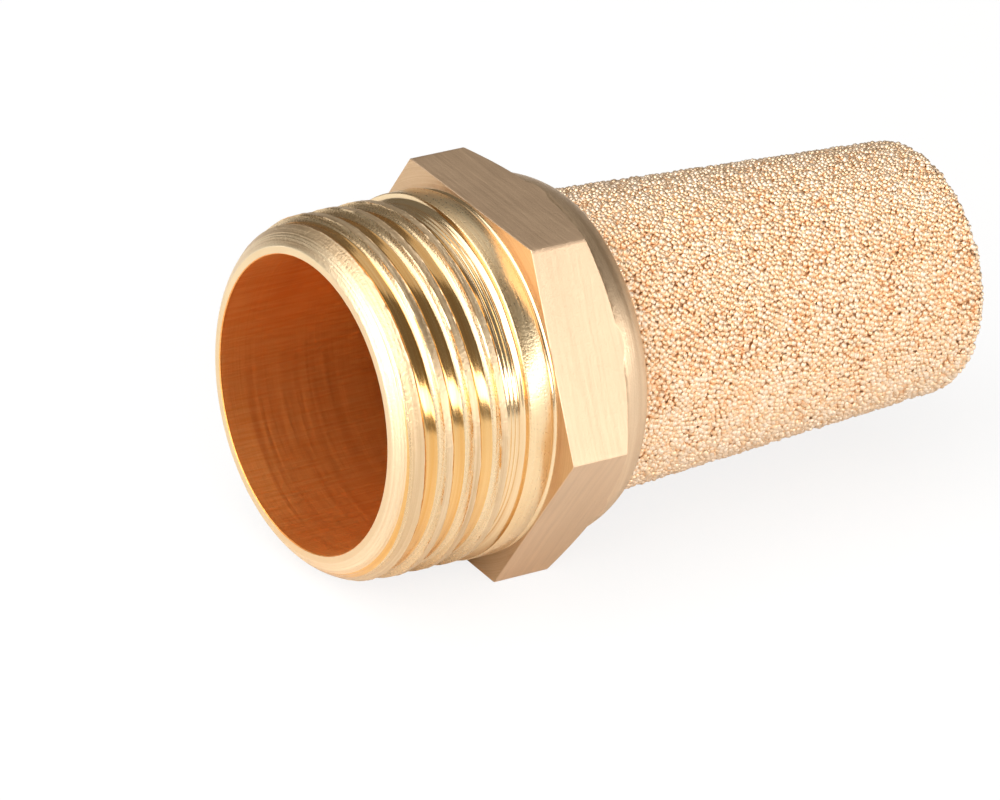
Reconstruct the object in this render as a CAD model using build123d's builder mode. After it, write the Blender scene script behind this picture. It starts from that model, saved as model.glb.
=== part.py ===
from build123d import *
from math import cos, radians, sin, tan
import os

os.makedirs("parts", exist_ok=True)

# Pneumatic exhaust muffler, in millimetres.
# The axis is X: the open, threaded end faces -X and the closed, porous end faces +X.
# The origin is on the axis, in the plane of the hexagon's seating face, and +Z is square to a flat.

# Pipe thread, G 1/2: parallel, 14 turns to the inch, 55 degree flanks
thread_major_radius = 20.955 / 2
thread_pitch = 25.4 / 14
thread_length = 10.0
flank_angle = 27.5
root_rounding = 0.765
crest_flat = 0.42
crest_radius_rear = 10.40
crest_radius_front = 10.36
# how far in front of the seating face the groove's centre line crosses the -Y side
groove_phase = 4.38

# Turned details of the threaded end
bore_radius = 8.5
rim_radius = 8.95
nose_length = 2.4
relief_start = 3.10
relief_end = 1.85
relief_ramp = 0.45
undercut_width = 0.45
undercut_depth = 0.22
seat_inner_radius = 10.48

# Hexagon and the domed collar behind it
hex_across_flats = 21.0
hex_corner_length = 3.6
rear_chamfer_angle = 30.0
collar_radius = 10.55
collar_mid = (5.45, 10.31)
lip_start = (6.35, 9.85)
collar_length = 6.65
lip_flat_radius = 9.40

# Porous cup of sintered bronze
cup_seat = 2.5
cup_end = 32.1
cup_seat_radius = 9.14
cup_end_radius = 7.49
cup_wall = 2.2
cup_floor = 2.6
cup_end_rounding = 0.7
cup_inner_rounding = 1.2
socket_clearance = 0.03

# Worked out from the above
hex_corner_radius = hex_across_flats / 2 / cos(radians(30))
collar_start = hex_corner_length + (hex_corner_radius - collar_radius) * tan(radians(rear_chamfer_angle))
front = -thread_length
cup_taper = (cup_seat_radius - cup_end_radius) / (cup_end - cup_seat)

# The thread groove's section: a rounded root between two flanks, wide enough to leave the crest's flat
arc_half_width = root_rounding * cos(radians(flank_angle))
arc_height = root_rounding * (1 - sin(radians(flank_angle)))
groove_half_width = (thread_pitch - crest_flat) / 2
groove_depth = arc_height + (groove_half_width - arc_half_width) / tan(radians(flank_angle))
root_radius = crest_radius_rear - groove_depth
overcut = 0.25
mouth_half_width = groove_half_width + overcut * tan(radians(flank_angle))
mouth_height = groove_depth + overcut
relief_radius = root_radius - 0.03


def cup_radius(x):
    """Outer radius of the porous cup at the distance x behind the seating face."""
    return cup_seat_radius - cup_taper * (x - cup_seat)


# The brass body: hexagon, collar, threaded shank, bore and socket, all one piece of bar
with BuildPart() as threaded_hex_body:
    # the length of hexagon bar, flats level
    with BuildSketch(Plane.YZ):
        RegularPolygon(radius=hex_corner_radius, side_count=6)
    extrude(amount=collar_length)

    # its rear corners turned away to a 30 degree chamfer that runs into the domed collar
    with BuildSketch(Plane.XY):
        with BuildLine():
            Polyline(
                (0, 0),
                (0, hex_corner_radius + 1),
                (hex_corner_length - tan(radians(rear_chamfer_angle)), hex_corner_radius + 1),
                (collar_start, collar_radius),
            )
            dome = ThreePointArc((collar_start, collar_radius), collar_mid, lip_start)
            lip = TangentArc(lip_start, (collar_length, lip_flat_radius), tangent=dome % 1)
            Polyline(lip @ 1, (collar_length, 0), (0, 0))
        make_face()
    revolve(axis=Axis.X, mode=Mode.INTERSECT)

    # the shank: round undercut, plain band, run-out groove, and the crests with their rounded nose
    with BuildSketch(Plane.XY):
        with BuildLine():
            ThreePointArc(
                (0, seat_inner_radius),
                (-undercut_width / 2, thread_major_radius - undercut_depth),
                (-undercut_width, thread_major_radius),
            )
            Polyline(
                (-undercut_width, thread_major_radius),
                (-relief_end, thread_major_radius),
                (-relief_end - relief_ramp, relief_radius),
                (-relief_start, relief_radius),
                (-relief_start, crest_radius_rear),
            )
            crests = Line((-relief_start, crest_radius_rear), (front + nose_length, crest_radius_front))
            nose = TangentArc(crests @ 1, (front, rim_radius), tangent=crests % 1)
            Polyline(nose @ 1, (front, 0), (0, 0), (0, seat_inner_radius))
        make_face()
    revolve(axis=Axis.X)

    # the thread groove, from in front of the rim to the run-out groove; the helix leaves from +Z,
    # a quarter turn before -Y
    groove_start = -groove_phase - 4.25 * thread_pitch
    with BuildLine() as groove_path:
        Helix(
            pitch=thread_pitch,
            height=-groove_start - (relief_start + relief_end) / 2,
            radius=root_radius,
            center=(groove_start, 0, 0),
            direction=(1, 0, 0),
        )
    start = groove_path.line @ 0
    outwards = Vector(0, start.Y, start.Z)
    with BuildSketch(Plane(origin=start, x_dir=outwards, z_dir=groove_path.line % 0)):
        with BuildLine():
            ThreePointArc((arc_height, -arc_half_width), (0, 0), (arc_height, arc_half_width))
            Polyline(
                (arc_height, arc_half_width),
                (mouth_height, mouth_half_width),
                (mouth_height, -mouth_half_width),
                (arc_height, -arc_half_width),
            )
        make_face()
    sweep(path=groove_path, is_frenet=True, mode=Mode.SUBTRACT)

    # the air bore, and the tapered socket that the cup is rolled into
    with BuildSketch(Plane.XY):
        with BuildLine():
            Polyline(
                (front, 0),
                (front, bore_radius),
                (cup_seat, bore_radius),
                (cup_seat, cup_seat_radius + socket_clearance),
                (collar_length, cup_radius(collar_length) + socket_clearance),
                (collar_length, 0),
                (front, 0),
            )
        make_face()
    revolve(axis=Axis.X, mode=Mode.SUBTRACT)

threaded_hex_body.part.label = "threaded_hex_body"
export_step(threaded_hex_body.part, "parts/threaded_hex_body.step")


# The porous cup: tapered outside and inside, closed at the far end, its rim on the socket's step
with BuildPart() as sintered_bronze_element:
    with BuildSketch(Plane.XY):
        with BuildLine():
            Polyline(
                (cup_seat, 0),
                (cup_seat, cup_seat_radius),
                (cup_end, cup_end_radius),
                (cup_end, 0),
                (cup_seat, 0),
            )
        outside = make_face()
        fillet(outside.vertices().sort_by(Axis.X)[-2:].sort_by(Axis.Y)[-1], cup_end_rounding)
    revolve(axis=Axis.X)
    cup_inner_end = cup_end - cup_floor
    with BuildSketch(Plane.XY):
        with BuildLine():
            Polyline(
                (cup_seat, 0),
                (cup_seat, cup_seat_radius - cup_wall),
                (cup_inner_end, cup_radius(cup_inner_end) - cup_wall),
                (cup_inner_end, 0),
                (cup_seat, 0),
            )
        inside = make_face()
        fillet(inside.vertices().sort_by(Axis.X)[-2:].sort_by(Axis.Y)[-1], cup_inner_rounding)
    revolve(axis=Axis.X, mode=Mode.SUBTRACT)

sintered_bronze_element.part.label = "sintered_bronze_element"
export_step(sintered_bronze_element.part, "parts/sintered_bronze_element.step")
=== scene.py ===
"""Pneumatic exhaust muffler: the visual model and a plain studio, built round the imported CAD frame.

Lengths in the shape code are millimetres, with +X along the axis from the open thread to the closed cup.
theta runs round the axis from +Y towards +Z.
"""

from enum import IntEnum
from math import atan2, cos, pi, radians, sin, sqrt, tan

import bmesh
import bpy
import numpy as np
from mathutils import Matrix, Vector
from mathutils.kdtree import KDTree


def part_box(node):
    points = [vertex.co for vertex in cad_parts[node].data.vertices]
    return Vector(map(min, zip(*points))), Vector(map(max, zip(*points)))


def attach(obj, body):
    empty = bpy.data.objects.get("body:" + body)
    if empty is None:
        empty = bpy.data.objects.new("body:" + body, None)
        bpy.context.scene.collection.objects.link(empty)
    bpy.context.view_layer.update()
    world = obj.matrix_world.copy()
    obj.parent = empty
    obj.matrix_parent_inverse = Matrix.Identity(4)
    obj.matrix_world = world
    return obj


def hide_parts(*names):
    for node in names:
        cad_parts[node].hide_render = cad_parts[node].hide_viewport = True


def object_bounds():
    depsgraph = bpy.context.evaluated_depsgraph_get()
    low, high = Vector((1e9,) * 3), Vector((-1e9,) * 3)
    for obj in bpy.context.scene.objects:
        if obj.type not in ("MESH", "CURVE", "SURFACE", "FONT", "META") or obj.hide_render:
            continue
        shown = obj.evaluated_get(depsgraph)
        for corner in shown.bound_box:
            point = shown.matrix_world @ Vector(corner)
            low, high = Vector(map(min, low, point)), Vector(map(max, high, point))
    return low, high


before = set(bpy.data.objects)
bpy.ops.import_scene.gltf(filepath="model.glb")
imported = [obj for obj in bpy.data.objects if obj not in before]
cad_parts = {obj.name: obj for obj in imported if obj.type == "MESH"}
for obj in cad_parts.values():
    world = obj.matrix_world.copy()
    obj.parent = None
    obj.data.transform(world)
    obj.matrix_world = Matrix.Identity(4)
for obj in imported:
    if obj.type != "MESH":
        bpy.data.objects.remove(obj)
cad_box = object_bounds()
body_lo, body_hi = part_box("threaded_hex_body")
cup_lo, cup_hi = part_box("sintered_bronze_element")

# ---------------------------------------------------------------------------------------------
# Dimensions, in millimetres
# ---------------------------------------------------------------------------------------------
PER_METRE = 1000
MILLIMETRE = 0.001

FRONT = body_lo.x * PER_METRE
COLLAR_END = body_hi.x * PER_METRE
CUP_SEAT = cup_lo.x * PER_METRE
CUP_END = cup_hi.x * PER_METRE
APOTHEM = body_hi.z * PER_METRE
CORNER_RADIUS = APOTHEM / cos(radians(30))

# the thread: its crests lean in slightly towards the open end
PITCH = 25.4 / 14
MAJOR_RADIUS = 20.955 / 2
CREST_FLAT = 0.42
CREST_REAR_RADIUS = 10.40
CREST_FRONT_RADIUS = 10.36
PHASE = 4.38
FLANK_ANGLE = radians(27.5)
ROOT_ROUND = 0.765
GROOVE_HALF = (PITCH - CREST_FLAT) / 2
FLANK_RUN = GROOVE_HALF - ROOT_ROUND * cos(FLANK_ANGLE)
DEPTH = ROOT_ROUND * (1 - sin(FLANK_ANGLE)) + FLANK_RUN / tan(FLANK_ANGLE)
ROOT_RADIUS = CREST_REAR_RADIUS - DEPTH

# the groove's floor is level for a little way before it curves up into the flanks, at the same depth
FLOOR_HALF = 0.24
FLOOR_ROUND = (FLOOR_HALF + DEPTH * tan(FLANK_ANGLE) - GROOVE_HALF) / (
    (1 - sin(FLANK_ANGLE)) * tan(FLANK_ANGLE) - cos(FLANK_ANGLE)
)
ARC_HALF = FLOOR_HALF + FLOOR_ROUND * cos(FLANK_ANGLE)
ARC_HEIGHT = FLOOR_ROUND * (1 - sin(FLANK_ANGLE))

# the two ends of the shank
BORE_RADIUS = 8.5
RIM_RADIUS = 8.95
NOSE_LENGTH = 2.4
THREAD_FRONT = FRONT + 0.55
RELIEF_START = 3.10
RELIEF_END = 1.85
RELIEF_RADIUS = ROOT_RADIUS - 0.03
BAND_EDGE_BEVEL = 0.06
UNDERCUT_WIDTH = 0.45
UNDERCUT_DEPTH = 0.22
FACE_INNER_RADIUS = 10.48

# the hexagon, the dome that is turned on its corners, and the lip rolled over the cup
HEX_LENGTH = 3.6
HEX_BEVEL = 0.035
CORNER_WEAR = 0.025
COLLAR_RADIUS = 10.55
COLLAR_START = HEX_LENGTH + (CORNER_RADIUS - COLLAR_RADIUS) * tan(radians(30))
COLLAR_MID = (5.45, 10.31)
LIP_START = (6.35, 9.85)
LIP_FLAT_RADIUS = 9.40

# the porous cup and the socket that holds it
CUP_SEAT_RADIUS = 9.14
CUP_END_RADIUS = 7.49
CUP_WALL = 2.2
CUP_FLOOR = 2.6
CUP_ROUNDING = 0.65
CUP_TAPER = (CUP_SEAT_RADIUS - CUP_END_RADIUS) / (CUP_END - CUP_SEAT)
CUP_FLOOR_X = CUP_END - CUP_FLOOR
SOCKET_CLEARANCE = 0.03
SOCKET_STEP = 0.3
SOCKET_MIDDLE = 4.5


def cup_radius(x):
    """The cup's outer radius at x."""
    return CUP_SEAT_RADIUS - CUP_TAPER * (x - CUP_SEAT)


def inner_radius(x):
    """The radius inside the cup at x."""
    return cup_radius(x) - CUP_WALL


# ---------------------------------------------------------------------------------------------
# Mesh helpers
# ---------------------------------------------------------------------------------------------
def make_mesh(name, points, polygons, materials, indices=None, sharp=None):
    """A mesh object from points in millimetres and a list of (k, 3) or (k, 4) index arrays.

    indices gives each polygon's material, and edges sharper than sharp degrees are shaded as edges.
    """
    mesh = bpy.data.meshes.new(name)
    loops = np.concatenate([p.ravel() for p in polygons]).astype(np.int32)
    sizes = np.concatenate([np.full(len(p), p.shape[1]) for p in polygons])
    starts = np.concatenate([[0], np.cumsum(sizes)[:-1]]).astype(np.int32)
    mesh.vertices.add(len(points))
    mesh.vertices.foreach_set("co", (np.asarray(points) * MILLIMETRE).astype(np.float32).ravel())
    mesh.loops.add(len(loops))
    mesh.loops.foreach_set("vertex_index", loops)
    mesh.polygons.add(len(sizes))
    mesh.polygons.foreach_set("loop_start", starts)
    if indices is not None:
        mesh.polygons.foreach_set("material_index", np.asarray(indices, np.int32))
    mesh.update(calc_edges=True)
    mesh.validate()
    mesh.shade_smooth()
    if sharp is not None:
        mesh.set_sharp_from_angle(angle=radians(sharp))
    for material in materials:
        mesh.materials.append(material)
    piece = bpy.data.objects.new(name, mesh)
    bpy.context.scene.collection.objects.link(piece)
    return piece


def split_quads(quads):
    """The true quads, triangles for those with two equal corners, and the rows that both came from."""
    quads = np.asarray(quads)
    same = quads == np.roll(quads, -1, axis=1)
    count = same.sum(axis=1)
    whole = quads[count == 0]
    bent = quads[count == 1]
    drop = same[count == 1].argmax(axis=1)
    keep = np.array([[1, 2, 3], [0, 2, 3], [0, 1, 3], [0, 1, 2]])[drop]
    tris = np.take_along_axis(bent, keep, axis=1)
    fine = (tris[:, 0] != tris[:, 1]) & (tris[:, 1] != tris[:, 2]) & (tris[:, 0] != tris[:, 2])
    return whole, tris[fine], np.flatnonzero(count == 0), np.flatnonzero(count == 1)[fine]


def smooth_noise(count, width, seed):
    """A closed run of noise of unit size, smoothed over width samples."""
    raw = np.random.default_rng(seed).standard_normal(count)
    frequency = np.fft.rfftfreq(count) * width
    shaped = np.fft.irfft(np.fft.rfft(raw) * np.exp(-(frequency**2) * 4), count)
    return shaped / shaped.std()


def half_turn(angle):
    """The same angle between -180 and 180 degrees, in radians."""
    return (angle + pi) % (2 * pi) - pi


def arc_through(a, b, c, count):
    """Points on the circle from a through b to c."""
    (ax, ay), (bx, by), (cx, cy) = a, b, c
    a2, b2, c2 = ax * ax + ay * ay, bx * bx + by * by, cx * cx + cy * cy
    d = 2 * (ax * (by - cy) + bx * (cy - ay) + cx * (ay - by))
    ux = (a2 * (by - cy) + b2 * (cy - ay) + c2 * (ay - by)) / d
    uy = (a2 * (cx - bx) + b2 * (ax - cx) + c2 * (bx - ax)) / d
    first = atan2(ay - uy, ax - ux)
    to_b, to_c = [half_turn(atan2(y - uy, x - ux) - first) for x, y in (b, c)]
    if to_b * to_c < 0:
        to_c -= 2 * pi * np.sign(to_c)
    angles = first + np.linspace(0, to_c, count)
    radius = sqrt((ax - ux) ** 2 + (ay - uy) ** 2)
    return np.stack([ux + radius * np.cos(angles), uy + radius * np.sin(angles)], 1)


def tangent_arc(a, direction, c, count):
    """Points on the circle that leaves a along direction and ends at c."""
    a, c = np.asarray(a, float), np.asarray(c, float)
    t = np.asarray(direction, float) / np.linalg.norm(direction)
    n = np.array([-t[1], t[0]])
    chord = c - a
    radius = chord @ chord / (2 * (chord @ n))
    centre = a + n * radius
    first = atan2(*(a - centre)[::-1])
    turn = half_turn(atan2(*(c - centre)[::-1]) - first)
    angles = first + np.linspace(0, turn, count)
    return centre + abs(radius) * np.stack([np.cos(angles), np.sin(angles)], 1)


# ---------------------------------------------------------------------------------------------
# Materials
# ---------------------------------------------------------------------------------------------
class Nodes:
    """Short names for building a material's node tree. Marks are sized per millimetre."""

    def __init__(self, name):
        self.material = bpy.data.materials.new(name)
        self.material.use_nodes = True
        self.tree = self.material.node_tree
        self.tree.nodes.clear()
        self.out = self.add("ShaderNodeOutputMaterial")
        self.place = self.add("ShaderNodeTexCoord").outputs["Object"]

    def add(self, kind, **values):
        """A new node, with its settings."""
        node = self.tree.nodes.new(kind)
        for key, value in values.items():
            setattr(node, key, value)
        return node

    def link(self, a, b):
        self.tree.links.new(a, b)

    def math(self, operation, *values):
        """A math node on sockets or numbers."""
        node = self.add("ShaderNodeMath", operation=operation)
        for socket, value in zip(node.inputs, values):
            if isinstance(value, (int, float)):
                socket.default_value = value
            else:
                self.link(value, socket)
        return node.outputs[0]

    def mapped(self, vector, x, y, z):
        """The vector times (x, y, z) per millimetre."""
        node = self.add("ShaderNodeMapping", vector_type="POINT")
        node.inputs["Scale"].default_value = (x * PER_METRE, y * PER_METRE, z * PER_METRE)
        self.link(vector, node.inputs["Vector"])
        return node.outputs["Vector"]

    def scaled(self, x, y, z):
        """The object's coordinates times (x, y, z) per millimetre."""
        return self.mapped(self.place, x, y, z)

    def radial(self, r, y, z):
        """(radius, y, z) times (r, y, z) per millimetre, for marks that run in circles on a flat face."""
        split = self.add("ShaderNodeSeparateXYZ")
        self.link(self.place, split.inputs[0])
        along_y, along_z = split.outputs["Y"], split.outputs["Z"]
        squares = [self.math("MULTIPLY", side, side) for side in (along_y, along_z)]
        join = self.add("ShaderNodeCombineXYZ")
        self.link(self.math("SQRT", self.math("ADD", *squares)), join.inputs[0])
        self.link(along_y, join.inputs[1])
        self.link(along_z, join.inputs[2])
        return self.mapped(join.outputs[0], r, y, z)

    def noise(self, vector, detail, rough=0.55):
        """Noise of one cell per unit of the vector."""
        node = self.add("ShaderNodeTexNoise", noise_dimensions="3D")
        node.inputs["Scale"].default_value = 1.0
        node.inputs["Detail"].default_value = detail
        node.inputs["Roughness"].default_value = rough
        self.link(vector, node.inputs["Vector"])
        return node.outputs["Fac"]

    def span(self, value, to_low, to_high, low=0.3, high=0.7):
        """The value from low..high moved to to_low..to_high and kept between them."""
        node = self.add("ShaderNodeMapRange", clamp=True)
        node.inputs["From Min"].default_value = low
        node.inputs["From Max"].default_value = high
        node.inputs["To Min"].default_value = to_low
        node.inputs["To Max"].default_value = to_high
        self.link(value, node.inputs["Value"])
        return node.outputs["Result"]

    def blend(self, value, deep, pale, low=0.36, high=0.64):
        """A colour between deep at low and pale at high."""
        node = self.add("ShaderNodeValToRGB")
        for element, place, colour in zip(node.color_ramp.elements, (low, high), (deep, pale)):
            element.position = place
            element.color = (*colour, 1)
        self.link(value, node.inputs["Fac"])
        return node.outputs["Color"]

    def add_up(self, *pairs):
        """The sum of value * weight."""
        total = 0.0
        for value, weight in pairs:
            total = self.math("MULTIPLY_ADD", value, weight, total)
        return total

    def bump(self, height, distance):
        """A normal from a height that is distance millimetres at 1."""
        node = self.add("ShaderNodeBump")
        node.inputs["Strength"].default_value = 1.0
        node.inputs["Distance"].default_value = distance * MILLIMETRE
        self.link(height, node.inputs["Height"])
        return node.outputs["Normal"]

    def metal(self, colour, roughness, normal):
        """Finishes the material as bare metal."""
        node = self.add("ShaderNodeBsdfPrincipled")
        node.inputs["Metallic"].default_value = 1.0
        self.link(colour, node.inputs["Base Color"])
        self.link(roughness, node.inputs["Roughness"])
        self.link(normal, node.inputs["Normal"])
        self.link(node.outputs["BSDF"], self.out.inputs["Surface"])
        return self.material


# the deepest and the palest tone of each turned surface
CREST_TONES = ((0.68, 0.47, 0.265), (0.86, 0.67, 0.44))
# the valleys' tones are painted shade and painted reflected light: a deeper, more saturated amber than the
# crests and flanks, for the light that bounces between the groove's walls
VALLEY_TONES_PAINTED_SHADE_AND_BOUNCE = ((0.83, 0.44, 0.13), (0.91, 0.58, 0.25))
FLANK_TONES = ((0.72, 0.49, 0.26), (0.88, 0.69, 0.44))
NOSE_TONES = ((0.87, 0.63, 0.38), (0.98, 0.81, 0.56))
PLAIN_TONES = ((0.86, 0.60, 0.34), (0.96, 0.76, 0.48))
BAND_TONES = ((0.90, 0.63, 0.34), (0.96, 0.76, 0.48))
COLLAR_TONES = ((0.76, 0.54, 0.34), (0.86, 0.65, 0.44))


def turned(name, fine, rough, depth, spots, tones, grit=7):
    """Brass with lathe marks that run round the axis, fine of them per millimetre, over a little grain."""
    n = Nodes(name)
    rings_fine = n.noise(n.scaled(fine, 0.10, 0.10), detail=3)
    rings_wide = n.noise(n.scaled(fine * 0.3, 0.05, 0.05), detail=2)
    grain = n.noise(n.scaled(grit, grit, grit), detail=2)
    tone = n.blend(n.add_up((rings_wide, 0.5), (rings_fine, 0.5)), *tones)
    height = n.add_up((rings_fine, 0.7), (rings_wide, 0.3), (grain, spots))
    shine = n.span(n.add_up((rings_fine, 0.5), (grain, 0.5)), rough * 0.75, rough * 1.35)
    return n.metal(tone, shine, n.bump(height, depth))


def faced():
    """The hexagon's front face: circles about the axis."""
    n = Nodes("brass_faced")
    circles = n.noise(n.radial(11, 0.12, 0.12), detail=3)
    grain = n.noise(n.scaled(7, 7, 7), detail=2)
    tone = n.blend(circles, (0.64, 0.43, 0.25), (0.74, 0.53, 0.33), low=0.3, high=0.7)
    height = n.add_up((circles, 0.8), (grain, 0.3))
    return n.metal(tone, n.span(grain, 0.38, 0.50), n.bump(height, 0.016))


def milled():
    """The hexagon's flats: drawn bar with wavy milling marks that run round the hexagon."""
    n = Nodes("brass_hexagon_flats")
    bend = n.noise(n.scaled(0.30, 0.28, 0.28), detail=2)
    aside = n.add("ShaderNodeCombineXYZ")
    n.link(bend, aside.inputs[0])
    place = n.add("ShaderNodeVectorMath", operation="ADD")
    n.link(aside.outputs[0], place.inputs[0])
    n.link(n.scaled(3.4, 0.12, 0.12), place.inputs[1])
    streaks = n.noise(place.outputs[0], detail=2, rough=0.5)
    fine = n.noise(n.scaled(13, 1.2, 1.2), detail=3)
    grain = n.noise(n.scaled(7, 7, 7), detail=2)
    cloud = n.noise(n.scaled(0.4, 0.4, 0.4), detail=2)
    tone = n.blend(n.add_up((streaks, 0.7), (cloud, 0.3)), (0.70, 0.50, 0.33), (0.77, 0.56, 0.375))
    height = n.add_up((streaks, 0.7), (fine, 0.35), (grain, 0.35))
    shine = n.span(n.add_up((fine, 0.5), (cloud, 0.5)), 0.44, 0.52)
    return n.metal(tone, shine, n.bump(height, 0.040))


def bored():
    """The bore: faint chatter along the axis over fine turning, in brass pushed to a deep orange that is
    painted reflected light.
    """
    n = Nodes("brass_bore_painted_bounce")
    along = n.noise(n.scaled(0.30, 6.0, 6.0), detail=3)
    round_marks = n.noise(n.scaled(4, 0.12, 0.12), detail=2)
    # the deep orange is painted reflected light, for the light that bounces round inside the bore
    tone = n.blend(along, (0.94, 0.41, 0.10), (1.0, 0.51, 0.16))
    height = n.add_up((along, 0.9), (round_marks, 0.45))
    return n.metal(tone, n.span(round_marks, 0.42, 0.52), n.bump(height, 0.032))


def granular(name, rough_low, rough_high, pale, deep):
    """Sintered bronze granules: a satin skin with faint tarnish from grain to grain."""
    n = Nodes(name)
    grains = n.noise(n.scaled(1.9, 1.9, 1.9), detail=1)
    cloud = n.noise(n.scaled(0.30, 0.30, 0.30), detail=2)
    skin = n.noise(n.scaled(16, 16, 16), detail=2)
    tone = n.blend(n.add_up((grains, 0.8), (cloud, 0.2)), deep, pale)
    return n.metal(tone, n.span(grains, rough_low, rough_high), n.bump(skin, 0.008))


bronze_skin = granular("bronze_granules", 0.40, 0.54, pale=(0.96, 0.79, 0.62), deep=(0.91, 0.65, 0.41))
# the deeper granules, the cup's inside and its core are a more saturated orange than the outer skin:
# painted reflected light, for the light that bounces between the granules in the pits
bronze_deep = granular("bronze_deep_granules_painted_bounce", 0.45, 0.60, pale=(0.97, 0.70, 0.45), deep=(0.95, 0.60, 0.35))


class Kind(IntEnum):
    """The kinds of surface on the body, each with a metal of its own."""

    CREST = 0
    VALLEY = 1
    FLANK = 2
    NOSE = 3
    RELIEF = 4
    BAND = 5
    FACE = 6
    FLAT = 7
    COLLAR = 8
    BORE = 9
    RIM = 10


body_metals = {
    Kind.CREST: turned("brass_crests", 9, rough=0.40, depth=0.044, spots=0.8, grit=6.5, tones=CREST_TONES),
    # the valleys' amber is painted shade and painted reflected light from the groove's walls
    Kind.VALLEY: turned(
        "brass_thread_valleys_painted_shade", 9, rough=0.15, depth=0.010, spots=0.05, grit=9, tones=VALLEY_TONES_PAINTED_SHADE_AND_BOUNCE
    ),
    Kind.FLANK: turned("brass_thread_flanks", 10, rough=0.26, depth=0.032, spots=0.4, tones=FLANK_TONES),
    Kind.NOSE: turned("brass_nose", 12, rough=0.38, depth=0.044, spots=0.6, tones=NOSE_TONES),
    Kind.RELIEF: turned("brass_run_out", 12, rough=0.16, depth=0.010, spots=0.1, grit=9, tones=PLAIN_TONES),
    Kind.BAND: turned("brass_plain_band", 9, rough=0.30, depth=0.022, spots=0.8, tones=BAND_TONES),
    Kind.FACE: faced(),
    Kind.FLAT: milled(),
    Kind.COLLAR: turned("brass_collar_dome", 10, rough=0.40, depth=0.026, spots=0.6, tones=COLLAR_TONES),
    Kind.BORE: bored(),
    Kind.RIM: turned("brass_rim", 9, rough=0.34, depth=0.020, spots=0.5, tones=PLAIN_TONES),
}

# ---------------------------------------------------------------------------------------------
# The brass body: one closed skin, a grid of columns round the axis
# ---------------------------------------------------------------------------------------------
COLUMNS = 672
theta = 2 * pi * np.arange(COLUMNS) / COLUMNS

# the thread's turns, counted from the first that touches the nose, and the offsets tried across each
TURNS = 6
FIRST_TURN = -4
STEPS = np.linspace(-PITCH / 2, PITCH / 2, 241)
NARROWEST_GROOVE = 0.6

# rows across one pitch, as shares of the groove's width and of the crest's
GROOVE_ROWS = (0, 0.015, 0.06, 0.12, *np.arange(0.2, 0.8, 0.08).round(2), 0.84, 0.91, 0.96, 0.988, 1)
CREST_ROWS = (0.06, 0.28, 0.5, 0.72, 0.94)
ROWS_PER_TURN = len(GROOVE_ROWS) + len(CREST_ROWS)
REAR_FLANK_SHARE = 0.72

# how rough the cutting left the groove's edges and the crests
EDGE_WANDER = 0.013
BURR_HEIGHT = 0.016
CREST_GRAIN = 0.006

# tool lines on the nose: x, width and depth, deepest at the angle where the thread starts
NOSE_LINES = (
    (-9.87, 0.030, 0.024),
    (-9.75, 0.032, 0.034),
    (-9.63, 0.032, 0.030),
    (-9.50, 0.038, 0.046),
    (-9.26, 0.050, 0.034),
)
THREAD_START = radians(195)

# rings on the nose behind the rim: close together at its edge, then evenly spaced up to the thread
NOSE_ROWS = np.concatenate([[0.004, 0.03, 0.08, 0.14], np.arange(0.18, 0.53, 0.026)])

# the shank's outline before the thread is cut: the rounded nose, then the crests' slight taper
crest_line = np.array([(-RELIEF_START, CREST_REAR_RADIUS), (FRONT + NOSE_LENGTH, CREST_FRONT_RADIUS)])
nose_arc = tangent_arc(crest_line[1], crest_line[1] - crest_line[0], (FRONT, RIM_RADIUS), 60)
outline = np.concatenate([nose_arc[::-1], crest_line[:1]])


def envelope(x):
    """The shank's radius at x before the thread is cut."""
    return np.interp(x, outline[:, 0], outline[:, 1])


def nose_lines(x, turn):
    """Depth of the tool lines on the nose at x and the angle turn."""
    around = 0.6 + 0.6 * np.clip(np.cos(turn - THREAD_START), 0, 1)
    return around * sum(depth * np.exp(-(((x - place) / width) ** 2)) for place, width, depth in NOSE_LINES)


def groove(offset):
    """The thread groove's radius at an axial offset from its centre line."""
    a = np.abs(offset)
    along = np.clip(a, FLOOR_HALF, ARC_HALF) - FLOOR_HALF
    arc = FLOOR_ROUND - np.sqrt(FLOOR_ROUND**2 - along**2)
    return ROOT_RADIUS + np.where(a <= ARC_HALF, arc, ARC_HEIGHT + (a - ARC_HALF) / tan(FLANK_ANGLE))


def groove_centre(k):
    """x of turn k's centre line in every column."""
    return -PHASE + PITCH * ((np.degrees(theta) - 180) / 360 + FIRST_TURN + k)


def groove_edges(k):
    """The offsets of turn k's two edges from its centre line in every column, and its true width."""
    cut = envelope(groove_centre(k)[:, None] + STEPS) - groove(STEPS)
    inside = cut > 0
    first = inside.argmax(axis=1)
    last = len(STEPS) - 1 - inside[:, ::-1].argmax(axis=1)
    column = np.arange(COLUMNS)
    before = np.maximum(first - 1, 0)
    after = np.minimum(last + 1, len(STEPS) - 1)
    a0, a1 = cut[column, before], cut[column, first]
    b0, b1 = cut[column, last], cut[column, after]
    step = STEPS[1] - STEPS[0]
    low = STEPS[before] + step * np.clip(-a0 / np.where(a1 == a0, 1, a1 - a0), 0, 1)
    high = STEPS[last] + step * np.clip(b0 / np.where(b0 == b1, 1, b0 - b1), 0, 1)
    nothing_cut = ~inside.any(axis=1)
    deepest = STEPS[cut.argmax(axis=1)]
    low = np.where(nothing_cut, deepest, low)
    high = np.where(nothing_cut, deepest, high)
    # where the groove has run out of the nose its rows still keep some width, mostly towards the front
    spread = np.maximum(NARROWEST_GROOVE - (high - low), 0)
    return low - spread * 0.7, high + spread * 0.3, high - low


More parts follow.
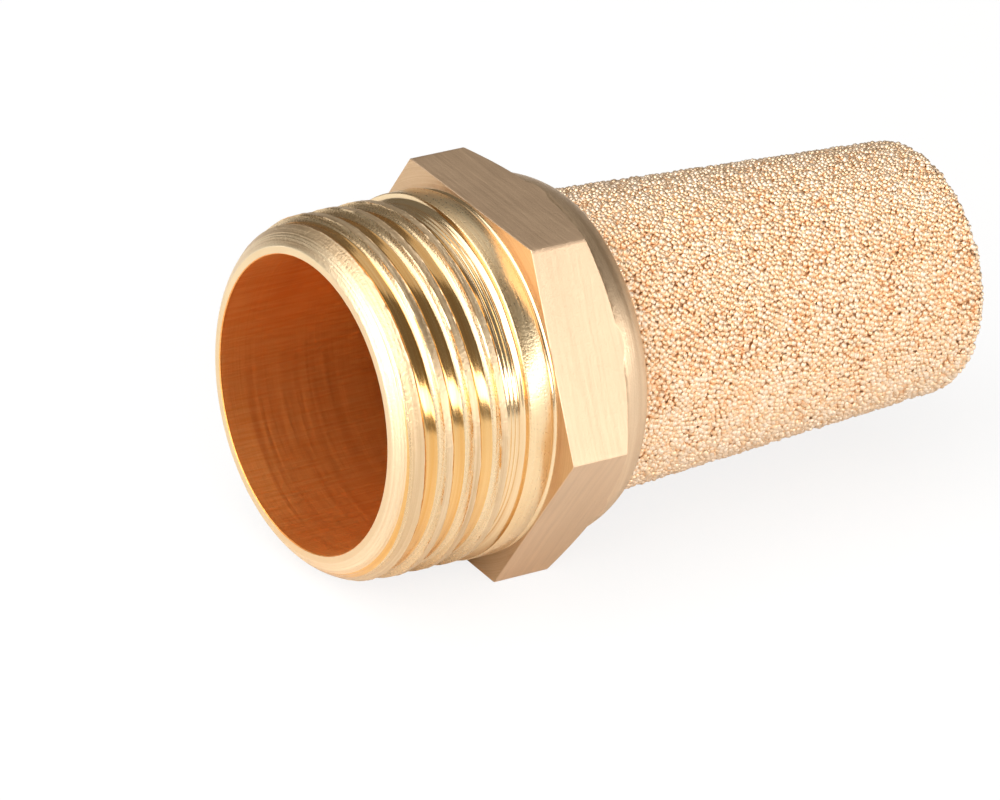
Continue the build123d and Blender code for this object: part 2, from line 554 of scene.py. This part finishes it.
def thread_grid():
    """x and radius of the thread's rows, one line per column, and the kind of surface after each row."""
    total = COLUMNS * (TURNS + 1)
    wander = [smooth_noise(total, 9, seed) for seed in (11, 12)]
    burrs = [smooth_noise(total, 3.2, seed) for seed in (13, 14)]
    grain = [smooth_noise(total, 2.6, 20 + number) for number in range(len(CREST_ROWS))]
    rows_x, rows_r, kinds = [], [], []
    for k in range(TURNS):
        run = slice(COLUMNS * k, COLUMNS * (k + 1))
        centre = groove_centre(k)
        lower, upper, cut_width = groove_edges(k)
        # the edges are clean where the groove is only just cut, and rough where it is 1 mm wide or more
        strength = np.clip((cut_width - 0.2) / 0.8, 0, 1)
        for share in GROOVE_ROWS:
            offset = lower + (upper - lower) * share
            x = centre + offset
            r = np.minimum(envelope(x), groove(offset))
            if share in (0, 1):
                x = x + EDGE_WANDER * strength * wander[share][run]
                r = envelope(x) + BURR_HEIGHT * strength * np.clip(0.3 + 0.7 * burrs[share][run], 0, 2)
            rows_x.append(x)
            rows_r.append(r)
            kinds.append(Kind.FLANK if share > REAR_FLANK_SHARE else Kind.VALLEY)
        kinds[-1] = Kind.CREST
        start = centre + upper
        end = groove_centre(k + 1) + groove_edges(k + 1)[0]
        for share, bumps in zip(CREST_ROWS, grain):
            x = start + (end - start) * share
            rows_x.append(x)
            rows_r.append(envelope(x) + CREST_GRAIN * bumps[run])
            kinds.append(Kind.CREST)
    return np.stack(rows_x, 1), np.stack(rows_r, 1), kinds


def cut_shank(x):
    """The shank's radius at x in every column, with the thread cut."""
    r = envelope(np.full(COLUMNS, x))
    for k in range(TURNS + 1):
        offset = x - groove_centre(k)
        r = np.where(np.abs(offset) < PITCH / 2, np.minimum(r, groove(offset)), r)
    return r


class Skin:
    """The body's points and faces, gathered as rings of one point per column."""

    def __init__(self):
        self.points = []
        self.count = 0
        self.quads = []
        self.kinds = []

    def grid(self, x, r):
        """Adds points at x and radius r, one line of them per column; gives their numbers."""
        turn = theta[:, None]
        self.points.append(np.stack([x, r * np.cos(turn), r * np.sin(turn)], -1).reshape(-1, 3))
        numbers = np.arange(self.count, self.count + x.size).reshape(x.shape)
        self.count += x.size
        return numbers

    def ring(self, x, r):
        """Adds one point per column at x and radius r; gives their numbers."""
        x, r = [np.broadcast_to(np.asarray(value, float), COLUMNS)[:, None] for value in (x, r)]
        return self.grid(x, r)[:, 0]

    def faces(self, a, b, b_next, a_next, kind):
        """Adds the quads with these corners."""
        self.quads.append(np.stack([a, b, b_next, a_next], 1))
        self.kinds.append(np.broadcast_to(kind, len(a)))

    def strip(self, rings, kind):
        """Joins each ring to the next; gives the last one."""
        for a, b in zip(rings[:-1], rings[1:]):
            self.faces(a, np.roll(a, -1), np.roll(b, -1), b, kind)
        return rings[-1]

    def finish(self):
        """The points in use, the polygons turned outwards, and each polygon's kind."""
        whole, tris, whole_rows, tri_rows = split_quads(np.concatenate(self.quads))
        kinds = np.concatenate(self.kinds)
        points = np.concatenate(self.points)
        used = np.unique(np.concatenate([whole.ravel(), tris.ravel()]))
        renumber = np.zeros(len(points), int)
        renumber[used] = np.arange(len(used))
        polygons = [renumber[whole][:, ::-1], renumber[tris][:, ::-1]]
        return points[used], polygons, np.concatenate([kinds[whole_rows], kinds[tri_rows]])


skin = Skin()
ring, strip = skin.ring, skin.strip


def thread():
    """The threaded length; gives its front and rear rings."""
    weld = 0.012
    x, r, kinds = thread_grid()
    front, rear = THREAD_FRONT, -RELIEF_START
    past_front = x <= front + weld
    past_rear = x >= rear - weld
    # every point outside the two ends is drawn onto them, then replaced by the end's own ring
    x = np.clip(x, front, rear)
    numbers = skin.grid(x, r - nose_lines(x, theta[:, None]))
    front_ring = ring(front, envelope(front) - nose_lines(front, theta))
    rear_ring = ring(rear, cut_shank(rear))
    numbers = np.where(past_front, front_ring[:, None], numbers)
    numbers = np.where(past_rear, rear_ring[:, None], numbers)
    for row, kind in enumerate(kinds[:-1]):
        here, there = numbers[:, row], numbers[:, row + 1]
        skin.faces(here[:-1], here[1:], there[1:], there[:-1], kind)
    # at theta = 360 degrees each turn runs on into the next one
    last = np.concatenate([np.full(ROWS_PER_TURN, front_ring[-1]), numbers[-1]])
    first = np.concatenate([numbers[0], np.full(ROWS_PER_TURN, rear_ring[0])])
    seam_kinds = kinds[:1] * ROWS_PER_TURN + kinds[:-1]
    skin.faces(last[:-1], first[:-1], first[1:], last[1:], np.array(seam_kinds))
    return front_ring, rear_ring


# the run-out groove rises in a hollow to the plain band, under fine ridges
RAMP_RUN = 0.47
RAMP_TOP = -RELIEF_END - 0.05
RIDGE_PITCH = 0.262
RIDGE_SHIFT = 0.16
RIDGE_HEIGHT = 0.018
RIDGE_FADE = 0.1
RUN_OUT_STEP = 0.0437


def run_out_radius(x):
    """The run-out groove's radius at x: its floor, then its rise to the band, with the ridges added."""
    top = MAJOR_RADIUS - BAND_EDGE_BEVEL
    climb = np.clip(x - (RAMP_TOP - RAMP_RUN), 0, RAMP_RUN)
    rise = RAMP_RUN - np.sqrt(RAMP_RUN**2 - climb**2)
    ridge = np.cos(2 * pi * (x - RAMP_TOP + RIDGE_SHIFT) / RIDGE_PITCH)
    fade = np.clip((RAMP_TOP - 0.05 - x) / RIDGE_FADE, 0, 1)
    fade = fade * np.clip((x + RELIEF_START - 0.03) / RIDGE_FADE, 0, 1)
    fade = fade * (1 + 0.9 * climb / RAMP_RUN)
    plain = np.minimum(RELIEF_RADIUS + rise * (top - RELIEF_RADIUS) / RAMP_RUN, top)
    return plain + RIDGE_HEIGHT * fade * ridge


def run_out(edge):
    """The run-out groove, from the thread's rear ring to the plain band."""
    rings = [edge]
    for number, x in enumerate(np.arange(0.02 - RELIEF_START, RAMP_TOP, RUN_OUT_STEP)):
        rings.append(ring(x, run_out_radius(x) + 0.003 * smooth_noise(COLUMNS, 12, 60 + number)))
    rings.append(ring(RAMP_TOP, MAJOR_RADIUS - BAND_EDGE_BEVEL))
    return strip(rings, Kind.RELIEF)


def plain_band(edge):
    """The plain band beside the hexagon, with softened edges."""
    rings = [edge, ring(-RELIEF_END - 0.01, MAJOR_RADIUS - 0.02), ring(-RELIEF_END + 0.05, MAJOR_RADIUS)]
    rings.append(ring(-UNDERCUT_WIDTH - 0.7, MAJOR_RADIUS + 0.004))
    rings.append(ring(-UNDERCUT_WIDTH - 0.04, MAJOR_RADIUS))
    return strip(rings, Kind.BAND)


def undercut(edge):
    """The small hollow between the band and the hexagon's face."""
    middle = (-UNDERCUT_WIDTH / 2, MAJOR_RADIUS - UNDERCUT_DEPTH)
    hollow = arc_through((-UNDERCUT_WIDTH, MAJOR_RADIUS), middle, (0, FACE_INNER_RADIUS), 9)
    rings = [edge, ring(-UNDERCUT_WIDTH + 0.01, MAJOR_RADIUS - 0.03)]
    rings += [ring(x, r) for x, r in hollow[1:-1]]
    return strip(rings, Kind.RELIEF)


# the hexagon's radius in every column, with the six corners worn back a little
from_flat = (np.degrees(theta) - 90 + 30) % 60 - 30
hex_radius = APOTHEM / np.cos(np.radians(from_flat))
hex_radius[:: COLUMNS // 6] = CORNER_RADIUS - CORNER_WEAR

# the dome's outline starts as a cone outside the corners, and meets the hexagon's sides along dome_x
DOME_ROWS = (0.0, 0.02, 0.08, 0.16, 0.26, 0.38, 0.5, 0.62, 0.74, 0.86, 1.0)
dome_arc = arc_through((COLLAR_START, COLLAR_RADIUS), COLLAR_MID, LIP_START, 40)
dome = np.concatenate([[(HEX_LENGTH - tan(radians(30)), CORNER_RADIUS + 1)], dome_arc])
dome_x = np.interp(-hex_radius, -dome[:, 1], dome[:, 0])
lip_arc = tangent_arc(LIP_START, dome_arc[-1] - dome_arc[-2], (COLLAR_END, LIP_FLAT_RADIUS), 7)


def hexagon(edge):
    """The hexagon's front face, its bevel and its sides, up to the dome."""
    rings = [edge, ring(0, FACE_INNER_RADIUS + 0.005)]
    rings.append(ring(0, np.maximum(hex_radius - HEX_BEVEL, FACE_INNER_RADIUS + 0.008)))
    edge = strip(rings, Kind.FACE)
    places = (HEX_BEVEL, HEX_BEVEL + 0.02, HEX_LENGTH / 3, HEX_LENGTH * 2 / 3, dome_x - 0.05, dome_x - 0.02)
    return strip([edge] + [ring(x, hex_radius) for x in places], Kind.FLAT)


def collar(edge):
    """The dome behind the hexagon, and the lip that is rolled in over the cup."""
    rings = [edge]
    start = dome_x + 0.015
    mouth = cup_radius(COLLAR_END) + SOCKET_CLEARANCE
    for share in DOME_ROWS:
        x = start + (LIP_START[0] - start) * share
        rings.append(ring(x, np.interp(x, dome[:, 0], dome[:, 1])))
    rings += [ring(x, r) for x, r in lip_arc[1:]]
    rings.append(ring(COLLAR_END, (LIP_FLAT_RADIUS + mouth) / 2))
    rings.append(ring(COLLAR_END, mouth + 0.05))
    rings.append(ring(COLLAR_END - 0.05, mouth))
    return strip(rings, Kind.COLLAR)


def socket_and_bore(edge):
    """The tapered socket, the step that the cup stands on, and the bore out to the front."""
    rings = [edge]
    rings += [ring(x, cup_radius(x) + SOCKET_CLEARANCE) for x in (SOCKET_MIDDLE, CUP_SEAT)]
    rings += [ring(CUP_SEAT, BORE_RADIUS + SOCKET_STEP), ring(CUP_SEAT, BORE_RADIUS + 0.04)]
    rings.append(ring(CUP_SEAT - 0.04, BORE_RADIUS))
    rings += [ring(x, BORE_RADIUS) for x in (1.0, -1.5, -4.0, -6.5, -8.5)]
    rings += [ring(FRONT + 0.05, BORE_RADIUS), ring(FRONT, BORE_RADIUS + 0.05)]
    return strip(rings, Kind.BORE)


def rim_and_nose(edge, front_ring):
    """The flat rim, and the rounded nose with its tool lines back to the thread."""
    rings = [edge, ring(FRONT, (BORE_RADIUS + RIM_RADIUS) / 2), ring(FRONT, RIM_RADIUS - 0.03)]
    rings = [strip(rings, Kind.RIM)]
    for x in FRONT + NOSE_ROWS:
        rings.append(ring(x, envelope(x) - nose_lines(x, theta)))
    strip(rings + [front_ring], Kind.NOSE)


front_ring, rear_ring = thread()
band_ring = plain_band(run_out(rear_ring))
lip_ring = collar(hexagon(undercut(band_ring)))
rim_and_nose(socket_and_bore(lip_ring), front_ring)

body_points, body_polygons, body_kinds = skin.finish()
metals = [body_metals[kind] for kind in Kind]
body = make_mesh("threaded_body", body_points, body_polygons, metals, body_kinds, sharp=38)
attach(body, "root")
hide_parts("threaded_hex_body")


# ---------------------------------------------------------------------------------------------
# The porous cup: loose-packed granules over a plain core
# ---------------------------------------------------------------------------------------------
GRAIN = 0.36
PROFILE_STEP = 0.04

# granules per square of the spacing when they are packed in hexagons
HEXAGONAL_PACKING = 1.1547
NEIGHBOURS = 7
PUSH = 0.45

# how far granules differ: in radius, across, in height, in lean and in the bumps of their skin
RADIUS_RANGE = (0.82, 1.16)
WIDTH_RANGE = (0.92, 1.16)
HEIGHT_RANGE = (0.90, 1.05)
LEAN_SPREAD = 0.12
SKIN_BUMPS = 0.045

# the plain core lies this far inside the granules' tops
CORE_DEPTH = 0.34
INNER_CORE_DEPTH = 0.35
CORE_COLUMNS = 144


def resampled(corners, step=PROFILE_STEP):
    """A polyline resampled about every step millimetres."""
    p = np.asarray(corners, float)
    lengths = np.concatenate([[0], np.cumsum(np.linalg.norm(np.diff(p, axis=0), axis=1))])
    s = np.linspace(0, lengths[-1], int(lengths[-1] / step) + 2)
    return np.stack([np.interp(s, lengths, p[:, 0]), np.interp(s, lengths, p[:, 1])], 1)


def outer_profile(depth, first):
    """The cup's outer outline from x = first, moved inwards by depth: wall, rounded edge, then flat end."""
    lean = atan2(CUP_TAPER, 1)

    def wall(x):
        return cup_radius(x) - depth / cos(lean)

    rounding = max(CUP_ROUNDING - depth, 0.05)
    end = CUP_END - depth
    centre_x = end - rounding
    centre_r = wall(centre_x) - rounding / cos(lean)
    angles = np.linspace(pi / 2 - lean, 0, 12)
    arc = [(centre_x + rounding * cos(a), centre_r + rounding * sin(a)) for a in angles]
    return resampled([(first, wall(first))] + arc + [(end, 0.0)])


def inner_profile(depth):
    """The cup's rim, its inner wall and its floor, moved into the metal by depth."""
    rim = CUP_SEAT + depth
    floor = CUP_FLOOR_X + depth
    corners = [(rim, BORE_RADIUS + SOCKET_STEP), (rim, inner_radius(CUP_SEAT) + depth)]
    corners += [(floor, inner_radius(CUP_FLOOR_X) + depth), (floor, 0.0)]
    return resampled(corners)


def profile_normals(profile):
    """The normal on the left of each point of the profile."""
    t = np.gradient(profile, axis=0)
    t /= np.linalg.norm(t, axis=1)[:, None]
    return np.stack([-t[:, 1], t[:, 0]], 1)


def on_surface(profile, place, angle):
    """Points at a place along the profile and an angle round the axis."""
    low = np.clip(place.astype(int), 0, len(profile) - 2)
    share = (place - low)[:, None]
    xr = profile[low] * (1 - share) + profile[low + 1] * share
    return np.stack([xr[:, 0], xr[:, 1] * np.cos(angle), xr[:, 1] * np.sin(angle)], 1)


def scatter(profile, spacing, fill, seed, rounds):
    """Points spread over the profile's surface of revolution, pushed apart until they sit like loose shot.

    Gives the points and the surface's normals there.
    """
    gen = np.random.default_rng(seed)
    seg = np.linalg.norm(np.diff(profile, axis=0), axis=1)
    mid_r = (profile[1:, 1] + profile[:-1, 1]) / 2
    area = np.concatenate([[0], np.cumsum(2 * pi * mid_r * seg)])
    count = int(fill * area[-1] * HEXAGONAL_PACKING / spacing**2)
    place = np.interp(gen.random(count) * area[-1], area, np.arange(len(profile)))
    angle = gen.random(count) * 2 * pi
    spots = on_surface(profile, place, angle)
    for _ in range(rounds):
        tree = KDTree(count)
        for number, spot in enumerate(spots.tolist()):
            tree.insert(spot, number)
        tree.balance()
        # each point's first neighbour is itself
        near = np.array([[hit[1] for hit in tree.find_n(spot, NEIGHBOURS)[1:]] for spot in spots.tolist()])
        gap = spots[:, None] - spots[near]
        distance = np.linalg.norm(gap, axis=2) + 1e-6
        push = np.clip(spacing - distance, 0, None)[:, :, None] * gap / distance[:, :, None]
        moved = spots + PUSH * push.sum(axis=1)
        angle = np.arctan2(moved[:, 2], moved[:, 1])
        radius = np.hypot(moved[:, 1], moved[:, 2])
        low = np.clip(place.astype(int), 0, len(profile) - 2)
        tangent = profile[low + 1] - profile[low]
        tangent /= np.linalg.norm(tangent, axis=1)[:, None]
        ahead = (moved[:, 0] - profile[low, 0]) * tangent[:, 0] + (radius - profile[low, 1]) * tangent[:, 1]
        place = np.clip(low + ahead / seg[0], 0, len(profile) - 1.001)
        spots = on_surface(profile, place, angle)
    low = np.clip(place.astype(int), 0, len(profile) - 2)
    flat = profile_normals(profile)[low]
    return spots, np.stack([flat[:, 0], flat[:, 1] * np.cos(angle), flat[:, 1] * np.sin(angle)], 1)


def grain_template(subdivisions, keep_above):
    """A unit sphere without its buried end."""
    bm = bmesh.new()
    bmesh.ops.create_icosphere(bm, subdivisions=subdivisions, radius=1.0)
    bmesh.ops.delete(bm, geom=[v for v in bm.verts if v.co.z < keep_above], context="VERTS")
    bm.verts.ensure_lookup_table()
    verts = np.array([v.co for v in bm.verts])
    faces = np.array([[v.index for v in f.verts] for f in bm.faces])
    bm.free()
    return verts, faces


def grains(spots, normal, size, template, seed, sink):
    """Granules at the spots, each a little out of round, turned at random about the surface's normal."""
    verts, faces = template
    gen = np.random.default_rng(seed)
    count = len(spots)
    helper = np.where(np.abs(normal[:, :1]) < 0.8, np.array([[1.0, 0, 0]]), np.array([[0, 1.0, 0]]))
    u = np.cross(helper, normal)
    u /= np.linalg.norm(u, axis=1)[:, None]
    v = np.cross(normal, u)
    turn = gen.random(count) * 2 * pi
    a = u * np.cos(turn)[:, None] + v * np.sin(turn)[:, None]
    b = np.cross(normal, a)
    radius = size / 2 * gen.uniform(*RADIUS_RANGE, count)
    wide = radius * gen.uniform(*WIDTH_RANGE, count)
    tall = radius * gen.uniform(*HEIGHT_RANGE, count)
    lean = gen.normal(0, LEAN_SPREAD, (count, 2))
    lift = -sink * gen.random(count) ** 2
    base = spots + normal * lift[:, None]
    local = np.einsum("ij,nj->nij", verts, np.stack([wide, radius, tall], 1))
    local[:, :, 2] += local[:, :, 0] * lean[:, :1] + local[:, :, 1] * lean[:, 1:]
    local *= 1 + SKIN_BUMPS * gen.standard_normal((count, len(verts), 1))
    world = base[:, None] + local[:, :, :1] * a[:, None] + local[:, :, 1:2] * b[:, None]
    world = world + local[:, :, 2:] * normal[:, None]
    numbers = faces[None] + (np.arange(count) * len(verts))[:, None, None]
    return world.reshape(-1, 3), [numbers.reshape(-1, 3)]


def cup_piece(name, points, polygons, material, sharp=None):
    """One piece of the visual cup. Together the pieces stand for the CAD's porous element."""
    piece = make_mesh(name, points, polygons, [material], sharp=sharp)
    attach(piece, "root")
    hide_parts("sintered_bronze_element")


def cup_core():
    """The plain cup behind the granules, drawn from its rim along the outside and back along the inside."""
    rim = CUP_SEAT + 0.25
    outside = [(rim, inner_radius(CUP_SEAT) + INNER_CORE_DEPTH), (rim, cup_radius(rim) - 0.05)]
    outside += [(x, cup_radius(x)) for x in (SOCKET_MIDDLE, COLLAR_END - 0.45)]
    outside += list(outer_profile(CORE_DEPTH, COLLAR_END - 0.2)[::12][:-1])
    inside_x = np.linspace(CUP_FLOOR_X + 0.3, CUP_SEAT + 0.4, 14)
    loop = outside + [(x, inner_radius(x) + INNER_CORE_DEPTH) for x in inside_x]
    column = np.arange(CORE_COLUMNS)
    follow = (column + 1) % CORE_COLUMNS
    angles = 2 * pi * column / CORE_COLUMNS
    points = [(x, r * cos(a), r * sin(a)) for x, r in loop for a in angles]
    end_tip, floor_tip = len(points), len(points) + 1
    points += [(CUP_END - CORE_DEPTH, 0, 0), (CUP_FLOOR_X + INNER_CORE_DEPTH, 0, 0)]
    quads, tris = [], []
    for number in range(len(loop)):
        here = number * CORE_COLUMNS
        there = (number + 1) % len(loop) * CORE_COLUMNS
        if number == len(outside) - 1:
            tris.append(np.stack([np.full(CORE_COLUMNS, end_tip), here + follow, here + column], 1))
            tris.append(np.stack([there + column, there + follow, np.full(CORE_COLUMNS, floor_tip)], 1))
        else:
            quads.append(np.stack([here + column, there + column, there + follow, here + follow], 1))
    return np.array(points), [np.concatenate(quads), np.concatenate(tris)]


round_grain = grain_template(2, -0.40)
coarse_grain = grain_template(1, -0.60)

# the outer granules, in five lengths of the cup
spots, normals = scatter(outer_profile(GRAIN / 2, COLLAR_END - 0.35), GRAIN * 0.97, 0.95, seed=7, rounds=18)
along_cup = np.argsort(spots[:, 0], kind="stable")
for number, chunk in enumerate(np.array_split(along_cup, 5)):
    points, polygons = grains(spots[chunk], normals[chunk], GRAIN, round_grain, seed=30 + number, sink=0.16)
    cup_piece(f"porous_cup_granules_{number + 1}", points, polygons, bronze_skin)

# a deeper layer that shows between them
# this layer's orange is painted reflected light, for the light that bounces about in the pits
spots, normals = scatter(outer_profile(GRAIN / 2 + 0.10, COLLAR_END - 0.35), GRAIN, 1.0, seed=8, rounds=10)
points, polygons = grains(spots, normals, GRAIN * 1.05, coarse_grain, seed=40, sink=0.05)
cup_piece("porous_cup_deep_granules", points, polygons, bronze_deep)

# inside the cup: the wall, the floor, and the rim that stands on the socket's step
spots, normals = scatter(inner_profile(GRAIN / 2), GRAIN, 0.88, seed=9, rounds=5)
points, polygons = grains(spots, normals, GRAIN * 1.05, coarse_grain, seed=50, sink=0.05)
cup_piece("porous_cup_inner_granules", points, polygons, bronze_deep)

points, polygons = cup_core()
cup_piece("porous_cup_core", points, polygons, bronze_deep, sharp=40)

# ---------------------------------------------------------------------------------------------
# Floor, room, lights and camera: lengths in metres, the lens and its sensor in millimetres
# ---------------------------------------------------------------------------------------------
FLOOR_SIZE = 3.0
TARGET = Vector((0.004, 0, 0))
SENSOR = 36
LENS = 7.56 * SENSOR
EYE = Vector((-222.393, -300.359, 198.041)) / PER_METRE
EYE_TURN = radians(-36.954)
EYE_TILT = radians(28.1)
EYE_ROLL = radians(6.342)

scene = bpy.context.scene
scene.view_settings.view_transform = "Standard"
scene.view_settings.look = "None"


def pale_floor():
    """Near white where the camera sees it, with faint shadows, and a pale grey reflector for the rest."""
    n = Nodes("pale_floor")
    paper = n.add("ShaderNodeBsdfDiffuse")
    paper.inputs["Color"].default_value = (0.97, 0.97, 0.97, 1)
    glow = n.add("ShaderNodeEmission")
    glow.inputs["Color"].default_value = (1, 1, 1, 1)
    seen = n.add("ShaderNodeMixShader")
    seen.inputs[0].default_value = 0.82
    n.link(paper.outputs[0], seen.inputs[1])
    n.link(glow.outputs[0], seen.inputs[2])
    unseen = n.add("ShaderNodeBsdfDiffuse")
    unseen.inputs["Color"].default_value = (0.84, 0.84, 0.84, 1)
    choose = n.add("ShaderNodeMixShader")
    n.link(n.add("ShaderNodeLightPath").outputs["Is Camera Ray"], choose.inputs[0])
    n.link(unseen.outputs[0], choose.inputs[1])
    n.link(seen.outputs[0], choose.inputs[2])
    n.link(choose.outputs[0], n.out.inputs["Surface"])
    return n.material


def studio_room():
    """A dim, warm room that lights the metal, behind a white backdrop for the camera."""
    world = bpy.data.worlds.new("studio")
    world.use_nodes = True
    tree = world.node_tree
    tree.nodes.clear()
    room = tree.nodes.new("ShaderNodeBackground")
    room.inputs["Color"].default_value = (1, 0.91, 0.77, 1)
    room.inputs["Strength"].default_value = 0.17
    backdrop = tree.nodes.new("ShaderNodeBackground")
    backdrop.inputs["Color"].default_value = (1, 1, 1, 1)
    backdrop.inputs["Strength"].default_value = 1.0
    choose = tree.nodes.new("ShaderNodeMixShader")
    out = tree.nodes.new("ShaderNodeOutputWorld")
    tree.links.new(tree.nodes.new("ShaderNodeLightPath").outputs["Is Camera Ray"], choose.inputs[0])
    tree.links.new(room.outputs[0], choose.inputs[1])
    tree.links.new(backdrop.outputs[0], choose.inputs[2])
    tree.links.new(choose.outputs[0], out.inputs["Surface"])
    return world


def softbox(name, azimuth, elevation, distance, width, height, radiance, edge=None):
    """A rectangular soft light, seen from the object at azimuth (0 is +X, 90 is +Y) and elevation.

    Its width runs level, or towards edge where that is given.
    """
    lamp = bpy.data.lights.new(name, "AREA")
    lamp.shape = "RECTANGLE"
    lamp.size = width
    lamp.size_y = height
    lamp.energy = radiance * pi * width * height
    a, e = radians(azimuth), radians(elevation)
    away = Vector((cos(a) * cos(e), sin(a) * cos(e), sin(e)))
    level = Vector(edge) if edge else Vector((-sin(a), cos(a), 0))
    across = (level - away * level.dot(away)).normalized()
    turn = Matrix((across, away.cross(across), away)).transposed()
    light = bpy.data.objects.new(name, lamp)
    light.matrix_world = Matrix.Translation(TARGET + away * distance) @ turn.to_4x4()
    scene.collection.objects.link(light)


floor_z = cad_box[0].z
floor_corners = [(x * FLOOR_SIZE, y * FLOOR_SIZE, floor_z) for x, y in ((-1, -1), (1, -1), (1, 1), (-1, 1))]
floor_mesh = bpy.data.meshes.new("floor")
floor_mesh.from_pydata(floor_corners, [], [(0, 1, 2, 3)])
floor_mesh.materials.append(pale_floor())
floor = bpy.data.objects.new("floor", floor_mesh)
scene.collection.objects.link(floor)

scene.world = studio_room()

softbox("right_strip", -60, 16.5, distance=0.5, width=0.80, height=0.125, radiance=4.8)
panel_edge = (0.912, -0.407, -0.041)
softbox("main_panel", -166.3, 50.9, distance=0.5, width=0.62, height=0.90, radiance=2.15, edge=panel_edge)
softbox("left_box", -172, 20, distance=0.5, width=0.50, height=0.34, radiance=2.4)
softbox("over_right", 50, 62, distance=0.5, width=0.40, height=0.40, radiance=0.50)
softbox("front_fill", -118, 14, distance=0.6, width=0.40, height=0.26, radiance=0.5)

camera = bpy.data.cameras.new("camera")
camera.sensor_width = SENSOR
camera.lens = LENS
camera.clip_start = 0.01
camera.clip_end = 20
back = Vector((sin(EYE_TURN) * cos(EYE_TILT), -cos(EYE_TURN) * cos(EYE_TILT), sin(EYE_TILT)))
level = Vector((cos(EYE_TURN), sin(EYE_TURN), 0))
upright = back.cross(level)
right = level * cos(EYE_ROLL) + upright * sin(EYE_ROLL)
up = upright * cos(EYE_ROLL) - level * sin(EYE_ROLL)
eye = bpy.data.objects.new("camera", camera)
eye.matrix_world = Matrix.Translation(EYE) @ Matrix((right, up, back)).transposed().to_4x4()
scene.collection.objects.link(eye)
scene.camera = eye
